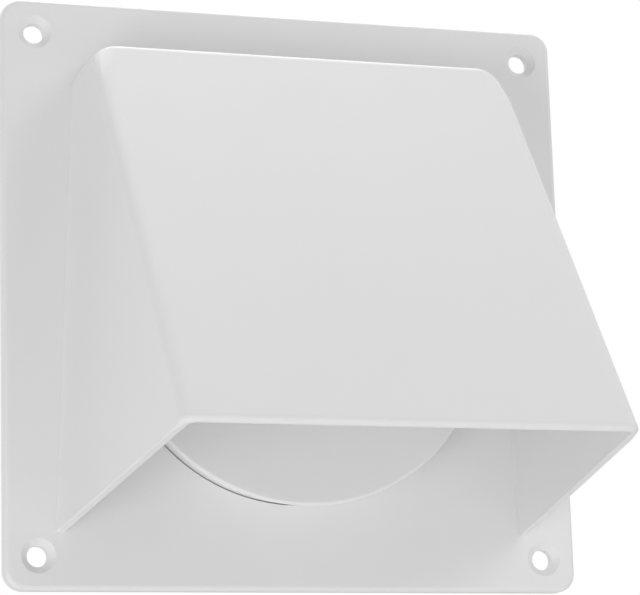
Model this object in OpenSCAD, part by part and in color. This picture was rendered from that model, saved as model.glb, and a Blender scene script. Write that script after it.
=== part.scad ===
// Hooded wall outlet for a round duct, with a gravity flap hung inside the hood.
// +X is right seen from outside, -Y points out of the wall, +Z is up.
// The origin is the middle of the plate's back face, which lies on the wall.

/* [Duct] */
// Inside diameter of the duct that slides over the spigot
duct_d = 100; // [90:1:125]
// Radial gap between the spigot and the duct
duct_gap = 1; // [0.4:0.1:2]
// Wall of the spigot tube
tube_wall = 1.8; // [1.2:0.1:2.6]
// Length of the spigot tube behind the wall face
tube_len = 40; // [25:1:70]
// Bevel at the free end of the spigot tube
tube_lead = 1.2; // [0.5:0.1:1.6]
// Radial step from the inside of the tube to the outside of the collar
collar_step = 0.2; // [0.1:0.1:0.8]
// Wall of the collar that carries the flap's seat
collar_wall = 1.8; // [1.2:0.1:2.6]

/* [Spigot flange] */
// Thickness of the flange behind the plate
flange_t = 1.6; // [1:0.1:1.7]
// Width of the flange beyond the collar
flange_lap = 9; // [6:0.5:12]
// Corner radius of the flange
flange_r = 8; // [3:0.5:12]
// Gap between the collar and the plate's opening
opening_gap = 0.3; // [0.2:0.05:0.6]

/* [Flap] */
// How far the flap reaches past the collar all round
flap_lap = 2; // [1:0.1:3]
// Thickness of the flap
flap_t = 1.8; // [1.2:0.1:2.4]
// Gap between the closed flap and its seat
seat_gap = 0.1; // [0.05:0.01:0.3]
// Lean of the closed flap, foot outwards, which lets its weight hold it shut
flap_lean = 2.5; // [1:0.1:4]
// Height of the stiffening ribs on the flap's back
flap_rib_h = 1.2; // [0.6:0.1:2]
// Width of the stiffening ribs
flap_rib_w = 1.2; // [0.8:0.1:2]
// Number of spokes on the flap's back
flap_spokes = 6; // [3:1:8]

/* [Hinge] */
// Diameter of the hinge pin
pin_d = 2.5; // [2:0.1:3]
// Radial running clearance of the flap's barrel on the pin
pin_run = 0.05; // [0.03:0.01:0.08]
// Radial clearance of the pin in the ears
pin_seat = 0.02; // [0.01:0.01:0.03]
// Height of the hinge line above the flap's rim
hinge_rise = 3; // [2.8:0.1:4]
// Distance of the hinge line in front of the plate
hinge_out = 5.8; // [5:0.1:8]
// Length of the flap's barrel
barrel_len = 30; // [20:1:36]
// Wall of the barrel round the pin
barrel_wall = 1.3; // [1:0.1:1.4]
// Thickness of each hinge ear
ear_t = 2.6; // [2:0.1:3.5]
// Wall of each ear round the pin
ear_wall = 2.1; // [1.6:0.1:2.2]
// End play between the barrel and each ear
ear_gap = 0.4; // [0.3:0.05:0.8]

/* [Hood] */
// Room between the flap's rim and the outside of each cheek, at the foot
side_room = 13; // [11:0.5:18]
// Room between the flap's rim and the foot of the hood
foot_room = 5.6; // [3:0.1:9]
// Room between the hinge line and the top of the hood
top_room = 15.3; // [14:0.1:20]
// Depth of the level top, from the plate's face
top_depth = 15.1; // [13:0.1:22]
// Depth of the lip, from the plate's face
lip_depth = 98; // [92:1:115]
// Height of the lip above the foot of the hood
lip_rise = 10.9; // [6:0.1:14]
// Draft of the cheeks towards the front, in degrees
front_draft = 4.7; // [3:0.1:5]
// Draft of the cheeks towards the top, in degrees
top_draft = 2.6; // [1:0.1:3]
// Wall of the hood
hood_wall = 2; // [1.6:0.1:2.2]
// Radius of the upright corners beside the level top
shoulder_r = 7.4; // [6:0.1:9]
// Radius of the edge between the top and the slope
brow_r = 3.4; // [2.8:0.1:4.5]
// Radius of the sloping edges, just below the brow
slope_edge_r = 3.4; // [2.6:0.1:5]
// Radius of the corners at the ends of the lip
lip_corner_r = 3.8; // [3:0.1:5]
// Radius of the outer edge of the lip
rim_r = 1.2; // [0.8:0.1:1.6]
// Radius of the outer edges of the rim below the cheeks
cheek_edge_r = 0.4; // [0.2:0.1:0.8]

/* [Plate] */
// Whole thickness of the plate
plate_t = 4; // [3.4:0.1:5]
// Thickness of the plate's skin inside its rim
skin_t = 2.2; // [1.8:0.1:2.3]
// Width of the plate's rim against the wall
plate_rim = 2.2; // [1.6:0.1:4]
// Border of the plate beside the hood's foot
side_border = 13; // [11:0.5:20]
// Border of the plate above the hood
top_border = 15.7; // [12:0.1:22]
// Border of the plate below the hood
foot_border = 14.4; // [12:0.1:22]
// Radius of the plate's corners
plate_r = 5; // [3.5:0.1:8]
// Rounding of the plate's front edge
plate_edge = 1.3; // [0.6:0.1:1.6]
// Width of the stiffening ribs behind the plate
plate_rib = 1.4; // [1:0.1:2]
// Distance between the stiffening ribs
rib_pitch = 24; // [16:1:40]

/* [Fixings] */
// Distance of each fixing hole from the two edges of the plate
fix_edge = 8.5; // [7:0.1:10]
// Diameter of the fixing holes
fix_d = 5.3; // [4:0.1:5.5]
// Diameter of the countersinks at the plate's face
sink_d = 8.8; // [7:0.1:9.6]
// Wall of the bosses behind the fixing holes
boss_wall = 3.2; // [2:0.1:3.6]

/* [Hidden] */
$fn = 96;

// Facets round the curves of the blended forms
hull_fn = 32;

// How far a cutting body runs past the face it cuts
over = 1;

// Thickness of the flat discs that carry a blended form's root
disc_t = 0.2;

// Material of the flange left above the notch
notch_land = 3;

// Gap between the flap's ribs and the inside of the seat
rib_gap = 3;

// Radius of the hub where the flap's spokes meet
hub_r = 4;

// How far the flap's tab stops short of each end of the barrel, and how far it reaches down
tab_side = 2;
tab_reach = 6;

// How far below the top the slope's edges reach their own radius
edge_drop = 12;

// How far behind the lip the rim's edges reach their own radius
edge_back = 9;

// Radii of the spigot and the flap
tube_r = duct_d / 2 - duct_gap;
collar_r = tube_r - tube_wall - collar_step;
seat_r = collar_r - collar_wall;
flap_r = collar_r + flap_lap;
opening_r = collar_r + opening_gap;
pin_r = pin_d / 2;
barrel_r = pin_r + barrel_wall;
ear_r = pin_r + ear_wall;

// Heights and widths, from the duct outwards
hinge_up = flap_r + hinge_rise;
hood_w = 2 * (flap_r + side_room);
hood_h = foot_room + flap_r + hinge_up + top_room;
plate_w = hood_w + 2 * side_border;
plate_h = foot_border + hood_h + top_border;
foot_z = foot_border - plate_h / 2;
top_z = foot_z + hood_h;
duct_z = foot_z + foot_room + flap_r;
hinge_z = duct_z + hinge_up;
fix_x = plate_w / 2 - fix_edge;
fix_z = plate_h / 2 - fix_edge;

// Places along the duct axis, outwards being minus
face_y = -plate_t;
pocket_y = skin_t - plate_t;
hinge_y = face_y - hinge_out;
brow_y = face_y - top_depth;
lip_y = face_y - lip_depth;
lip_z = foot_z + lip_rise;

// Hinge ears and the notch that lets them through the plate
ear_x = barrel_len / 2 + ear_gap;
ear_top = hinge_up + ear_r;
notch_w = 2 * (ear_x + ear_t + opening_gap);
notch_top = ear_top + opening_gap;
flange_w = 2 * (collar_r + flange_lap);
flange_top = max(collar_r + flange_lap, notch_top + notch_land);
boss_r = fix_d / 2 + boss_wall;

// Planes of the hood, each as its outward normal
slope_lean = atan2(brow_y - lip_y, top_z - lip_z);
mouth_tilt = atan2(lip_rise, lip_depth);
top_n = [0, 0, 1];
wall_n = [0, 1, 0];
slope_n = [0, -cos(slope_lean), sin(slope_lean)];
mouth_n = [0, -sin(mouth_tilt), -cos(mouth_tilt)];
function cheek_n(side) = unit([side, -tan(front_draft), tan(top_draft)]);

// Distance of each plane from the origin along its normal
slope_d = slope_n * [0, lip_y, lip_z];
mouth_d = mouth_n * [0, face_y, foot_z];
function cheek_d(side) = cheek_n(side) * [side * hood_w / 2, face_y, foot_z];

function unit(v) = v / norm(v);

// Reach of a flat ring, of the given radius about an axis, towards a direction
function reach(n, ring, axis) = ring * norm(n - (n * axis) * axis);

// The point shared by three planes
function meet(n1, d1, n2, d2, n3, d3) =
    (d1 * cross(n2, n3) + d2 * cross(n3, n1) + d3 * cross(n1, n2)) / (n1 * cross(n2, n3));

// The point where a cheek, the top and an upright plane meet, for a corner of radius r
function shoulder_at(side, y, r) =
    meet(top_n, top_z - r, cheek_n(side), cheek_d(side) - reach(cheek_n(side), r, wall_n), wall_n, y);

// The centre of the ring corner that touches the top, the slope and a cheek
function brow_at(side) = let(ring = shoulder_r - brow_r, c = cheek_n(side)) meet(
    top_n, top_z - shoulder_r,
    slope_n, slope_d - brow_r - reach(slope_n, ring, wall_n),
    c, cheek_d(side) - brow_r - reach(c, ring, wall_n));

// The centre of the ball that touches the slope and a cheek, level with the given height
function edge_at(side, z) = meet(
    slope_n, slope_d - slope_edge_r,
    cheek_n(side), cheek_d(side) - slope_edge_r,
    top_n, z);

// The centre of the ball that touches the mouth and a cheek, at the given depth
function rim_at(side, y) = meet(
    mouth_n, mouth_d - cheek_edge_r,
    cheek_n(side), cheek_d(side) - cheek_edge_r,
    wall_n, y);

// The centre of the ring corner that touches the mouth, the slope and a cheek
function lip_at(side) = let(ring = lip_corner_r - rim_r, c = cheek_n(side)) meet(
    mouth_n, mouth_d - rim_r,
    slope_n, slope_d - rim_r - reach(slope_n, ring, mouth_n),
    c, cheek_d(side) - rim_r - reach(c, ring, mouth_n));

// A corner of two radii, whose ring and tube touch the planes beside it
module ring_corner(ring, tube) {
    rotate_extrude($fn = hull_fn) intersection() {
        translate([ring, 0]) circle(r = tube, $fn = hull_fn);
        translate([0, -tube]) square([ring + tube, 2 * tube]);
    }
}

// An upright disc that ends on the plane at y
module wall_disc(at, r) {
    translate(at) rotate([90, 0, 0]) cylinder(r = r, h = disc_t, $fn = hull_fn);
}

// The closed form of the hood, whose cheeks, top and slope are planes with rounded edges
module hood_form() {
    root_y = face_y + skin_t / 2;
    hull() for (side = [-1, 1]) {
        wall_disc(shoulder_at(side, root_y, shoulder_r), shoulder_r);
        translate(brow_at(side)) rotate([90, 0, 0]) ring_corner(shoulder_r - brow_r, brow_r);
        translate(edge_at(side, top_z - edge_drop)) sphere(r = slope_edge_r, $fn = hull_fn);
        translate(lip_at(side)) rotate([-mouth_tilt, 0, 0]) ring_corner(lip_corner_r - rim_r, rim_r);
        for (y = [lip_y + edge_back, root_y])
            translate(rim_at(side, y)) sphere(r = cheek_edge_r, $fn = hull_fn);
    }
}

// The hollow of the hood, one wall inside the form and open past the mouth
module hood_hollow() {
    past = 25;
    inner_r = lip_corner_r - hood_wall;
    foot_r = 0.5;
    hull() for (side = [-1, 1]) {
        wall_disc(shoulder_at(side, face_y, shoulder_r), shoulder_r - hood_wall);
        translate(brow_at(side)) rotate([90, 0, 0]) ring_corner(shoulder_r - brow_r, brow_r - hood_wall);
        translate(edge_at(side, top_z - edge_drop)) sphere(r = slope_edge_r - hood_wall, $fn = hull_fn);
        translate(meet(
            mouth_n, mouth_d + past,
            slope_n, slope_d - hood_wall - inner_r,
            cheek_n(side), cheek_d(side) - hood_wall - inner_r)) sphere(r = inner_r, $fn = hull_fn);
        wall_disc(meet(
            mouth_n, mouth_d + past,
            cheek_n(side), cheek_d(side) - hood_wall - foot_r,
            wall_n, face_y), foot_r);
    }
}

// A rounded rectangle in the plate's plane
module rounded(w, h, r) {
    square([w - 2 * r, h], center = true);
    square([w, h - 2 * r], center = true);
    for (x = [-1, 1], z = [-1, 1]) translate([x * (w / 2 - r), z * (h / 2 - r)]) circle(r = r);
}

// Upright slab of a flat outline, from y0 out to y1
module slab(y0, y1) {
    translate([0, y0, 0]) rotate([90, 0, 0]) linear_extrude(height = y0 - y1) children();
}

// Round bar along the duct axis, from y0 out to y1
module bar(x, z, r, y0, y1) {
    translate([x, y0, z]) rotate([90, 0, 0]) cylinder(r = r, h = y0 - y1);
}

// The plate's body, with its front edge rounded
module plate_form() {
    inset = plate_r - plate_edge;
    hull() for (x = [-1, 1], z = [-1, 1])
        translate([x * (plate_w / 2 - plate_r), 0, z * (plate_h / 2 - plate_r)]) {
            bar(0, 0, plate_r, 0, -disc_t, $fn = hull_fn);
            translate([0, face_y + plate_edge, 0]) rotate([90, 0, 0]) ring_corner(inset, plate_edge);
        }
}

// The pocket behind the plate, which leaves its rim, ribs and bosses standing
module plate_pocket() {
    pocket_w = plate_w - 2 * plate_rim;
    pocket_h = plate_h - 2 * plate_rim;
    difference() {
        slab(over, pocket_y) rounded(pocket_w, pocket_h, plate_r - plate_rim / 2);
        for (x = [-1, 1], z = [-1, 1]) bar(x * fix_x, z * fix_z, boss_r, 2 * over, pocket_y - over);
        difference() {
            union() {
                for (z = [-2 : 2]) translate([0, 0, z * rib_pitch])
                    cube([plate_w, 3 * plate_t, plate_rib], center = true);
                for (x = [-2 : 2]) translate([x * rib_pitch, 0, 0])
                    cube([plate_rib, 3 * plate_t, plate_h], center = true);
            }
            slab(2 * over, pocket_y - 2 * over) flange_outline(opening_gap);
        }
    }
}

// Outline of the spigot's flange, grown by a gap
module flange_outline(gap) {
    foot = collar_r + flange_lap;
    translate([0, duct_z + (flange_top - foot) / 2])
        rounded(flange_w + 2 * gap, flange_top + foot + 2 * gap, flange_r + gap);
}

// The plate's opening for the collar, with the notch for the hinge ears
module plate_opening() {
    bar(0, duct_z, opening_r, over, face_y - over);
    translate([-notch_w / 2, face_y - over, duct_z])
        cube([notch_w, plate_t + 2 * over, notch_top]);
}

module fixing_hole() {
    bar(0, 0, fix_d / 2, over, face_y - over);
    sink = (sink_d - fix_d) / 2;
    translate([0, face_y - over, 0]) rotate([-90, 0, 0])
        cylinder(r1 = sink_d / 2 + over, r2 = fix_d / 2, h = sink + over);
}

// Plate and hood, moulded in one piece
module cowl() {
    color("gainsboro") {
        difference() {
            union() {
                plate_form();
                difference() {
                    hood_form();
                    hood_hollow();
                }
            }
            plate_pocket();
            plate_opening();
            for (x = [-1, 1], z = [-1, 1]) translate([x * fix_x, 0, z * fix_z]) fixing_hole();
        }
    }
}

// Everything in front of the seat, which lies just behind the closed flap
module seat_cut() {
    big = 6 * flap_r;
    translate([0, hinge_y, hinge_z]) rotate([-flap_lean, 0, 0])
        translate([-big / 2, flap_t / 2 + seat_gap - big, -big / 2]) cube([big, big, big]);
}

// One hinge ear, whose part below the eye ends flush with the seat
module ear(side) {
    low = sqrt(pow(collar_r - collar_wall / 2, 2) - pow(ear_x, 2));
    translate([side > 0 ? ear_x : -ear_x - ear_t, 0, 0]) {
        difference() {
            translate([0, hinge_y, duct_z + low])
                cube([ear_t, pocket_y - hinge_y, ear_top - low]);
            intersection() {
                seat_cut();
                translate([-over, 2 * hinge_y, duct_z])
                    cube([ear_t + 2 * over, -2 * hinge_y, hinge_up - ear_r]);
            }
        }
        translate([0, hinge_y, hinge_z]) rotate([0, 90, 0]) cylinder(r = ear_r, h = ear_t);
    }
}

// Duct spigot, its flange, the collar that is the flap's seat, and the hinge ears
module spigot() {
    color("whitesmoke") {
        difference() {
            union() {
                slab(pocket_y + flange_t, pocket_y) flange_outline(0);
                bar(0, duct_z, tube_r, tube_len - tube_lead, pocket_y);
                translate([0, tube_len - tube_lead, duct_z]) rotate([-90, 0, 0])
                    cylinder(r1 = tube_r, r2 = tube_r - tube_lead, h = tube_lead);
                difference() {
                    bar(0, duct_z, collar_r, 0, face_y - 4 * hinge_out);
                    seat_cut();
                }
                for (side = [-1, 1]) ear(side);
            }
            bar(0, duct_z, tube_r - tube_wall, tube_len + over, pocket_y + flange_t);
            bar(0, duct_z, seat_r, tube_len, face_y - 4 * hinge_out);
            translate([-ear_x - 2 * ear_t, hinge_y, hinge_z]) rotate([0, 90, 0])
                cylinder(r = pin_r + pin_seat, h = 2 * ear_x + 4 * ear_t);
        }
    }
}

// Stiffening on the flap's back: a ring, spokes and a hub
module flap_ribs() {
    ring_r = seat_r - rib_gap;
    rib_top = flap_t / 2 + flap_rib_h;
    difference() {
        bar(0, 0, ring_r, rib_top, 0);
        bar(0, 0, ring_r - flap_rib_w, rib_top + over, -over);
    }
    bar(0, 0, hub_r, rib_top, 0);
    for (i = [0 : flap_spokes - 1]) rotate([0, i * 360 / flap_spokes, 0])
        translate([0, 0, -flap_rib_w / 2]) cube([ring_r - flap_rib_w / 2, rib_top, flap_rib_w]);
}

// The flap about its hinge line, standing upright
module flap_upright() {
    translate([0, 0, -hinge_up]) {
        rotate([90, 0, 0]) rotate_extrude() {
            translate([0, -flap_t / 2]) square([flap_r - flap_t / 2, flap_t]);
            intersection() {
                translate([flap_r - flap_t / 2, 0]) circle(r = flap_t / 2);
                translate([0, -flap_t]) square([2 * flap_r, 2 * flap_t]);
            }
        }
        flap_ribs();
    }
    tab_w = barrel_len - 2 * tab_side;
    tab_h = hinge_rise + tab_reach;
    translate([-tab_w / 2, -flap_t / 2, -tab_h]) cube([tab_w, flap_t, tab_h]);
    translate([-barrel_len / 2, 0, 0]) rotate([0, 90, 0]) cylinder(r = barrel_r, h = barrel_len);
}

// Gravity flap, leaning on its seat
module flap() {
    color("snow") {
        translate([0, hinge_y, hinge_z]) rotate([-flap_lean, 0, 0]) {
            difference() {
                flap_upright();
                translate([-barrel_len, 0, 0]) rotate([0, 90, 0])
                    cylinder(r = pin_r + pin_run, h = 2 * barrel_len);
            }
        }
    }
}

// Pin that carries the flap between the ears
module hinge_pin() {
    pin_len = 2 * (ear_x + ear_t);
    color("silver") {
        translate([-pin_len / 2, hinge_y, hinge_z]) rotate([0, 90, 0]) cylinder(r = pin_r, h = pin_len);
    }
}

cowl();
spigot();
flap();
hinge_pin();
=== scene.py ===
"""Gravity flap vent, dressed: satin white mouldings on the vent's frame, a studio and a camera."""

import math

import bmesh
import bpy
from mathutils import Matrix, Vector


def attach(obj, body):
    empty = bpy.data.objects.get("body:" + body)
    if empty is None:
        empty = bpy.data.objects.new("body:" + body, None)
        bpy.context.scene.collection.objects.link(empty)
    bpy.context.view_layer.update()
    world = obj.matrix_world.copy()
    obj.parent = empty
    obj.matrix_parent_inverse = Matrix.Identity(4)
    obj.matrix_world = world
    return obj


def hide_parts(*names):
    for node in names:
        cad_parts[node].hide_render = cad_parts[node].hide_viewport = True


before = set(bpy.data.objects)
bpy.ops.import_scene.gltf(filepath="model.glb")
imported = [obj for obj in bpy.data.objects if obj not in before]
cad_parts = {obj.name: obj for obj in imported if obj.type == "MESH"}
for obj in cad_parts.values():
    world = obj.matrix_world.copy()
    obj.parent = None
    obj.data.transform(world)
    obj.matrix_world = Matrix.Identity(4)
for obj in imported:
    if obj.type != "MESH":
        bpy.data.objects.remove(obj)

bl_info = {
    "name": "Gravity Flap Vent",
    "version": (1, 0, 0),
    "blender": (4, 5, 0),
    "location": "View3D > Sidebar > Vent",
    "description": "Finishes the mouldings of a hooded wall vent and sets it in a pale studio",
    "category": "Add Mesh",
}

PHOTO_WIDTH_PX = 640
SENSOR_MM = 36.0


class VentFinish(bpy.types.PropertyGroup):
    """Colours and surface of the vent's pieces"""

    hood_colour: bpy.props.FloatVectorProperty(
        name="Cowl Colour",
        description="Colour of the plate and hood",
        subtype="COLOR",
        size=3,
        min=0.0,
        max=1.0,
        default=(0.86, 0.86, 0.86),
    )
    flap_colour: bpy.props.FloatVectorProperty(
        name="Flap Colour",
        description="Colour of the flap",
        subtype="COLOR",
        size=3,
        min=0.0,
        max=1.0,
        default=(0.88, 0.88, 0.88),
    )
    spigot_colour: bpy.props.FloatVectorProperty(
        name="Spigot Colour",
        description="Colour of the duct spigot",
        subtype="COLOR",
        size=3,
        min=0.0,
        max=1.0,
        default=(0.84, 0.84, 0.84),
    )
    steel_colour: bpy.props.FloatVectorProperty(
        name="Pin Colour",
        description="Colour of the hinge pin's steel",
        subtype="COLOR",
        size=3,
        min=0.0,
        max=1.0,
        default=(0.58, 0.58, 0.59),
    )
    gloss: bpy.props.FloatProperty(
        name="Roughness",
        description="Mean roughness of the moulded plastic",
        subtype="FACTOR",
        min=0.0,
        max=1.0,
        default=0.42,
    )
    grain: bpy.props.FloatProperty(
        name="Grain Depth",
        description="Depth of the mould's fine grain",
        subtype="DISTANCE",
        unit="LENGTH",
        min=0.0,
        default=0.00002,
        precision=6,
    )
    crease: bpy.props.FloatProperty(
        name="Crease Angle",
        description="Faces that meet at more than this angle keep a sharp edge",
        subtype="ANGLE",
        default=math.radians(28.0),
    )


class VentStudio(bpy.types.PropertyGroup):
    """Floor, lamps and ambient light"""

    floor_drop: bpy.props.FloatProperty(
        name="Floor Drop",
        description="How far the floor lies below the vent's origin",
        subtype="DISTANCE",
        unit="LENGTH",
        default=0.75,
    )
    floor_size: bpy.props.FloatProperty(
        name="Floor Size",
        description="Width of the floor",
        subtype="DISTANCE",
        unit="LENGTH",
        default=8.0,
    )
    ambient: bpy.props.FloatProperty(
        name="Ambient",
        description="Strength of the even light from all round",
        min=0.0,
        default=0.4,
    )
    back_watts: bpy.props.FloatProperty(
        name="Back Lamp", description="Power of the lamp above and behind", unit="POWER", default=9.3
    )
    top_right_watts: bpy.props.FloatProperty(
        name="Top Right Lamp", description="Power of the lamp above on the right", unit="POWER", default=1.2
    )
    left_watts: bpy.props.FloatProperty(
        name="Left Lamp", description="Power of the lamp on the left", unit="POWER", default=1.2
    )
    high_right_watts: bpy.props.FloatProperty(
        name="High Right Lamp", description="Power of the lamp high on the right", unit="POWER", default=3.3
    )
    low_left_watts: bpy.props.FloatProperty(
        name="Low Left Lamp", description="Power of the lamp low on the left", unit="POWER", default=3.3
    )
    low_right_watts: bpy.props.FloatProperty(
        name="Low Right Lamp", description="Power of the lamp low on the right", unit="POWER", default=0.8
    )
    low_front_watts: bpy.props.FloatProperty(
        name="Low Front Lamp", description="Power of the lamp low in front", unit="POWER", default=0.6
    )


class VentCamera(bpy.types.PropertyGroup):
    """The photograph's point of view"""

    azimuth: bpy.props.FloatProperty(
        name="Azimuth",
        description="Turn of the camera about the vertical, 0 from straight in front",
        subtype="ANGLE",
        default=math.radians(-17.06),
    )
    elevation: bpy.props.FloatProperty(
        name="Elevation",
        description="Height angle of the camera, below the vent when negative",
        subtype="ANGLE",
        default=math.radians(-12.65),
    )
    roll: bpy.props.FloatProperty(
        name="Roll",
        description="Turn of the picture about the line of sight",
        subtype="ANGLE",
        default=math.radians(-1.78),
    )
    distance: bpy.props.FloatProperty(
        name="Distance",
        description="Distance from the camera to the point it looks at",
        subtype="DISTANCE",
        unit="LENGTH",
        default=0.70115,
    )
    aim: bpy.props.FloatVectorProperty(
        name="Aim",
        description="The point at the middle of the picture",
        subtype="TRANSLATION",
        unit="LENGTH",
        size=3,
        default=(0.00783, -0.004, 0.00014),
    )
    focal_px: bpy.props.FloatProperty(
        name="Focal Length in Pixels",
        description="Focal length measured in the photograph's pixels",
        default=2706.72,
    )


def socket(node, name):
    """The input of a node by its name, or an error that names both."""
    found = node.inputs.get(name)
    if found is None:
        raise RuntimeError(f"{node.bl_idname} has no input {name}")
    return found


class Recipe:
    """A material's node tree, with short calls to add and join nodes."""

    def __init__(self, name):
        self.material = bpy.data.materials.new(name)
        self.material.use_nodes = True
        self.tree = self.material.node_tree
        self.tree.nodes.clear()
        self.shader = self.add("ShaderNodeBsdfPrincipled")
        out = self.add("ShaderNodeOutputMaterial")
        self.join(self.shader.outputs["BSDF"], out, "Surface")
        self.place = self.add("ShaderNodeTexCoord").outputs["Object"]

    def add(self, kind, **settings):
        node = self.tree.nodes.new(kind)
        for key, value in settings.items():
            setattr(node, key, value)
        return node

    def join(self, output, node, name):
        self.tree.links.new(output, socket(node, name))

    def set(self, **values):
        for name, value in values.items():
            socket(self.shader, name.replace("_", " ")).default_value = value

    def noise(self, per_metre, detail, stretch=None):
        """Noise of so many features to the metre, drawn out along an axis if stretch is given."""
        texture = self.add("ShaderNodeTexNoise")
        socket(texture, "Scale").default_value = per_metre
        socket(texture, "Detail").default_value = detail
        place = self.place
        if stretch:
            mapping = self.add("ShaderNodeMapping")
            socket(mapping, "Scale").default_value = stretch
            self.join(place, mapping, "Vector")
            place = mapping.outputs["Vector"]
        self.join(place, texture, "Vector")
        return texture.outputs["Fac"]

    def spread(self, fac, low, high):
        """The noise's middle range spread from low to high."""
        span = self.add("ShaderNodeMapRange")
        socket(span, "From Min").default_value = 0.3
        socket(span, "From Max").default_value = 0.7
        socket(span, "To Min").default_value = low
        socket(span, "To Max").default_value = high
        self.join(fac, span, "Value")
        return span.outputs["Result"]

    def tint(self, fac, colour, change):
        """The colour, a little darker and lighter over the noise."""
        mix = self.add("ShaderNodeMix", data_type="RGBA")
        dark, light = mix.inputs[6], mix.inputs[7]
        dark.default_value = (*[c * (1 - change) for c in colour], 1)
        light.default_value = (*[c * (1 + change) for c in colour], 1)
        self.join(self.spread(fac, 0.0, 1.0), mix, "Factor")
        self.join(mix.outputs[2], self.shader, "Base Color")

    def bump(self, fac, depth):
        relief = self.add("ShaderNodeBump")
        socket(relief, "Strength").default_value = 1.0
        socket(relief, "Distance").default_value = depth
        self.join(fac, relief, "Height")
        self.join(relief.outputs["Normal"], self.shader, "Normal")


def moulded_plastic(name, colour, finish):
    """Satin injection-moulded plastic: fine grain, faint clouding, uneven gloss."""
    recipe = Recipe(name)
    recipe.tint(recipe.noise(24, 3), colour, 0.006)
    gloss = recipe.spread(recipe.noise(90, 4), finish.gloss - 0.04, finish.gloss + 0.04)
    recipe.join(gloss, recipe.shader, "Roughness")
    recipe.bump(recipe.noise(1400, 3), finish.grain)
    recipe.set(IOR=1.47)
    return recipe.material


def drawn_steel(name, colour):
    """Drawn steel wire, with fine lines along its length."""
    recipe = Recipe(name)
    lines = recipe.noise(2500, 2, stretch=(0.04, 1.0, 1.0))
    recipe.tint(recipe.noise(300, 2), colour, 0.05)
    recipe.join(recipe.spread(lines, 0.25, 0.4), recipe.shader, "Roughness")
    recipe.bump(lines, 0.000005)
    recipe.set(Metallic=1.0)
    return recipe.material


def finished_copy(node, name, crease):
    """A welded copy of a node, its flats joined and its curves shaded smooth, that stands for it."""
    weld = 0.000002
    flat = math.radians(0.2)
    form = bmesh.new()
    form.from_mesh(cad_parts[node].data)
    bmesh.ops.remove_doubles(form, verts=form.verts, dist=weld)
    bmesh.ops.dissolve_limit(form, angle_limit=flat, verts=form.verts, edges=form.edges)
    form.normal_update()
    for face in form.faces:
        face.smooth = True
    for edge in form.edges:
        edge.smooth = edge.calc_face_angle(math.pi) < crease
    mesh = bpy.data.meshes.new(name)
    form.to_mesh(mesh)
    form.free()
    piece = bpy.data.objects.new(name, mesh)
    bpy.context.scene.collection.objects.link(piece)
    shading = piece.modifiers.new("Even Shading", "WEIGHTED_NORMAL")
    shading.keep_sharp = True
    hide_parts(node)
    return piece


def dress(piece, body, material):
    """Hangs a piece on its body and gives it its finish."""
    piece.data.materials.clear()
    piece.data.materials.append(material)
    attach(piece, body)


class VENT_OT_cowl(bpy.types.Operator):
    """Finish the plate and hood"""

    bl_idname = "vent.cowl"
    bl_label = "Cowl"

    def execute(self, context):
        finish = context.scene.vent_finish
        piece = finished_copy("cowl", "cowl_moulding", finish.crease)
        material = moulded_plastic("Cowl Plastic", finish.hood_colour, finish)
        dress(piece, "vent", material)
        return {"FINISHED"}


class VENT_OT_spigot(bpy.types.Operator):
    """Finish the duct spigot with its collar and hinge ears"""

    bl_idname = "vent.spigot"
    bl_label = "Spigot"

    def execute(self, context):
        finish = context.scene.vent_finish
        piece = finished_copy("spigot", "spigot_moulding", finish.crease)
        material = moulded_plastic("Spigot Plastic", finish.spigot_colour, finish)
        dress(piece, "vent", material)
        return {"FINISHED"}


class VENT_OT_flap(bpy.types.Operator):
    """Finish the gravity flap"""

    bl_idname = "vent.flap"
    bl_label = "Flap"

    def execute(self, context):
        finish = context.scene.vent_finish
        piece = finished_copy("flap", "flap_moulding", finish.crease)
        material = moulded_plastic("Flap Plastic", finish.flap_colour, finish)
        dress(piece, "flap", material)
        return {"FINISHED"}


class VENT_OT_hinge_pin(bpy.types.Operator):
    """Finish the hinge pin"""

    bl_idname = "vent.hinge_pin"
    bl_label = "Hinge Pin"

    def execute(self, context):
        finish = context.scene.vent_finish
        piece = finished_copy("hinge_pin", "hinge_pin_wire", finish.crease)
        dress(piece, "vent", drawn_steel("Pin Steel", finish.steel_colour))
        return {"FINISHED"}


def lamp(name, place, aim, size, watts):
    """A square soft lamp that the camera doesn't see."""
    light = bpy.data.lights.new(name, "AREA")
    light.shape = "SQUARE"
    light.size = size
    light.energy = watts
    holder = bpy.data.objects.new(name, light)
    holder.location = place
    direction = Vector(aim) - Vector(place)
    holder.rotation_mode = "QUATERNION"
    holder.rotation_quaternion = direction.to_track_quat("-Z", "Y")
    holder.visible_camera = False
    bpy.context.scene.collection.objects.link(holder)


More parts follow.
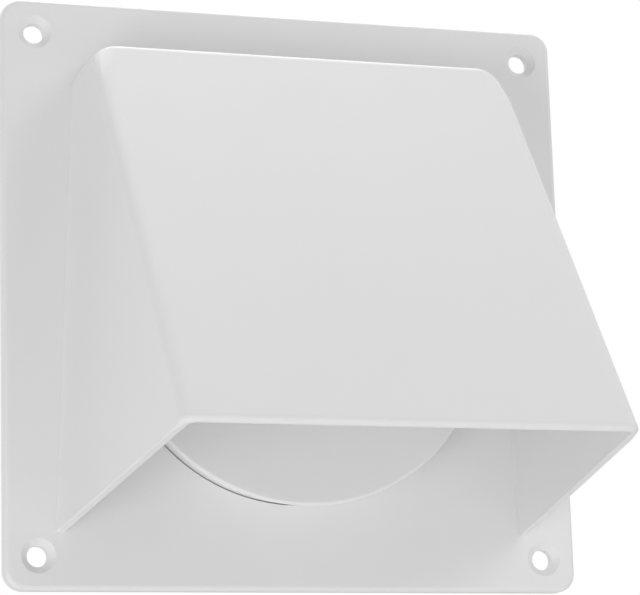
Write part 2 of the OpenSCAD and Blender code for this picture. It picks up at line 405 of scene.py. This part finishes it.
def white_behind(strength):
    """Even light of the given strength, seen as plain white by the camera and in reflections."""
    world = bpy.data.worlds.new("Studio")
    world.use_nodes = True
    tree = world.node_tree
    tree.nodes.clear()
    rays = tree.nodes.new("ShaderNodeLightPath")
    seen = tree.nodes.new("ShaderNodeMath")
    seen.operation = "MAXIMUM"
    seen_through = tree.nodes.new("ShaderNodeMath")
    seen_through.operation = "MAXIMUM"
    even = tree.nodes.new("ShaderNodeBackground")
    white = tree.nodes.new("ShaderNodeBackground")
    mix = tree.nodes.new("ShaderNodeMixShader")
    out = tree.nodes.new("ShaderNodeOutputWorld")
    even.inputs["Color"].default_value = (1, 1, 1, 1)
    even.inputs["Strength"].default_value = strength
    white.inputs["Color"].default_value = (1, 1, 1, 1)
    white.inputs["Strength"].default_value = 1.0
    tree.links.new(rays.outputs["Is Camera Ray"], seen.inputs[0])
    tree.links.new(rays.outputs["Is Glossy Ray"], seen.inputs[1])
    tree.links.new(seen.outputs[0], seen_through.inputs[0])
    tree.links.new(rays.outputs["Is Transmission Ray"], seen_through.inputs[1])
    tree.links.new(seen_through.outputs[0], mix.inputs[0])
    tree.links.new(even.outputs[0], mix.inputs[1])
    tree.links.new(white.outputs[0], mix.inputs[2])
    tree.links.new(mix.outputs[0], out.inputs["Surface"])
    bpy.context.scene.world = world


class VENT_OT_stage(bpy.types.Operator):
    """Lay the floor and light the studio"""

    bl_idname = "vent.stage"
    bl_label = "Stage"

    def execute(self, context):
        studio = context.scene.vent_studio
        form = bmesh.new()
        bmesh.ops.create_grid(form, x_segments=1, y_segments=1, size=studio.floor_size / 2)
        bmesh.ops.translate(form, verts=form.verts, vec=(0, 0, -studio.floor_drop))
        mesh = bpy.data.meshes.new("floor")
        form.to_mesh(mesh)
        form.free()
        floor = bpy.data.objects.new("floor", mesh)
        context.scene.collection.objects.link(floor)
        recipe = Recipe("Pale Floor")
        recipe.set(Base_Color=(0.82, 0.82, 0.82, 1), Roughness=0.7)
        mesh.materials.append(recipe.material)
        vent = (0, -0.04, 0)
        low = 0.25 - studio.floor_drop
        lamp("back_lamp", (0, 0.5, 1.1), vent, 1.0, studio.back_watts)
        lamp("top_right_lamp", (0.8, -0.1, 1.0), vent, 0.8, studio.top_right_watts)
        lamp("left_lamp", (-1.3, -0.15, 0), vent, 0.8, studio.left_watts)
        lamp("high_right_lamp", (0.85, -0.8, 0.7), vent, 0.8, studio.high_right_watts)
        lamp("low_left_lamp", (-0.7, -0.7, low), vent, 0.6, studio.low_left_watts)
        lamp("low_right_lamp", (0.7, -0.7, low), vent, 0.6, studio.low_right_watts)
        lamp("low_front_lamp", (0, -0.9, low), vent, 0.6, studio.low_front_watts)
        white_behind(studio.ambient)
        context.scene.view_settings.view_transform = "Standard"
        return {"FINISHED"}


class VENT_OT_camera(bpy.types.Operator):
    """Set the camera at the photograph's point of view"""

    bl_idname = "vent.camera"
    bl_label = "Camera"

    def execute(self, context):
        view = context.scene.vent_camera
        level = math.cos(view.elevation)
        back = Vector((
            math.sin(view.azimuth) * level,
            -math.cos(view.azimuth) * level,
            math.sin(view.elevation),
        ))
        across = Vector((0, 0, 1)).cross(back).normalized()
        turn = Matrix((across, back.cross(across), back)).transposed().to_4x4()
        data = bpy.data.cameras.new("camera")
        data.sensor_width = SENSOR_MM
        data.lens = view.focal_px / PHOTO_WIDTH_PX * SENSOR_MM
        data.clip_start = 0.05
        data.clip_end = 50.0
        camera = bpy.data.objects.new("camera", data)
        place = Matrix.Translation(Vector(view.aim) + back * view.distance)
        camera.matrix_world = place @ turn @ Matrix.Rotation(view.roll, 4, "Z")
        context.scene.collection.objects.link(camera)
        context.scene.camera = camera
        return {"FINISHED"}


class VENT_PT_panel(bpy.types.Panel):
    """Sidebar panel that lists the vent's operators"""

    bl_idname = "VENT_PT_panel"
    bl_label = "Gravity Flap Vent"
    bl_space_type = "VIEW_3D"
    bl_region_type = "UI"
    bl_category = "Vent"

    def draw(self, context):
        layout = self.layout
        for settings in (context.scene.vent_finish, context.scene.vent_studio, context.scene.vent_camera):
            box = layout.box()
            for name in settings.bl_rna.properties.keys():
                if name not in ("rna_type", "name"):
                    box.prop(settings, name)
        for step in STEPS:
            layout.operator(step.bl_idname)


STEPS = (
    VENT_OT_camera,
    VENT_OT_cowl,
    VENT_OT_spigot,
    VENT_OT_flap,
    VENT_OT_hinge_pin,
    VENT_OT_stage,
)
SETTINGS = {"vent_finish": VentFinish, "vent_studio": VentStudio, "vent_camera": VentCamera}


def register():
    for name, group in SETTINGS.items():
        bpy.utils.register_class(group)
        setattr(bpy.types.Scene, name, bpy.props.PointerProperty(type=group))
    for step in STEPS:
        bpy.utils.register_class(step)
    bpy.utils.register_class(VENT_PT_panel)


def unregister():
    bpy.utils.unregister_class(VENT_PT_panel)
    for step in reversed(STEPS):
        bpy.utils.unregister_class(step)
    for name, group in SETTINGS.items():
        delattr(bpy.types.Scene, name)
        bpy.utils.unregister_class(group)


def main():
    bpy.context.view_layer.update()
    register()
    bpy.ops.vent.camera()
    bpy.ops.vent.cowl()
    bpy.ops.vent.spigot()
    bpy.ops.vent.flap()
    bpy.ops.vent.hinge_pin()
    bpy.ops.vent.stage()


if __name__ == "__main__":
    main()
